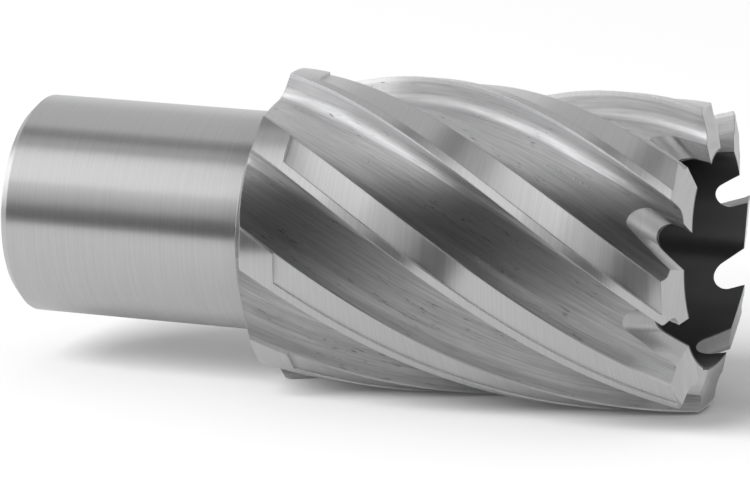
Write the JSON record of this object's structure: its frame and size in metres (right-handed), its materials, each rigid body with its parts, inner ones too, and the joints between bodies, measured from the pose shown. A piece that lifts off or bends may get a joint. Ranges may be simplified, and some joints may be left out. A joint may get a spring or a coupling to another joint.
{
  "type": "annular cutter",
  "caption": "Hollow steel annular cutter with a plain shank, helical flutes, narrow ground lands and a ring of gulleted teeth round an open core cavity.",
  "frame": {"origin": "centre of the shank's end face", "axes": "+Z along the cutter's axis, from the shank towards the teeth; the tool stands on its shank end, and the two drive flats face away from -Y"},
  "size_m": [0.027, 0.027, 0.0621],
  "materials": {
    "ground_steel": "satin"
  },
  "bodies": {
    "root": {"annular_cutter": "ground_steel"}
  },
  "joints": []
}
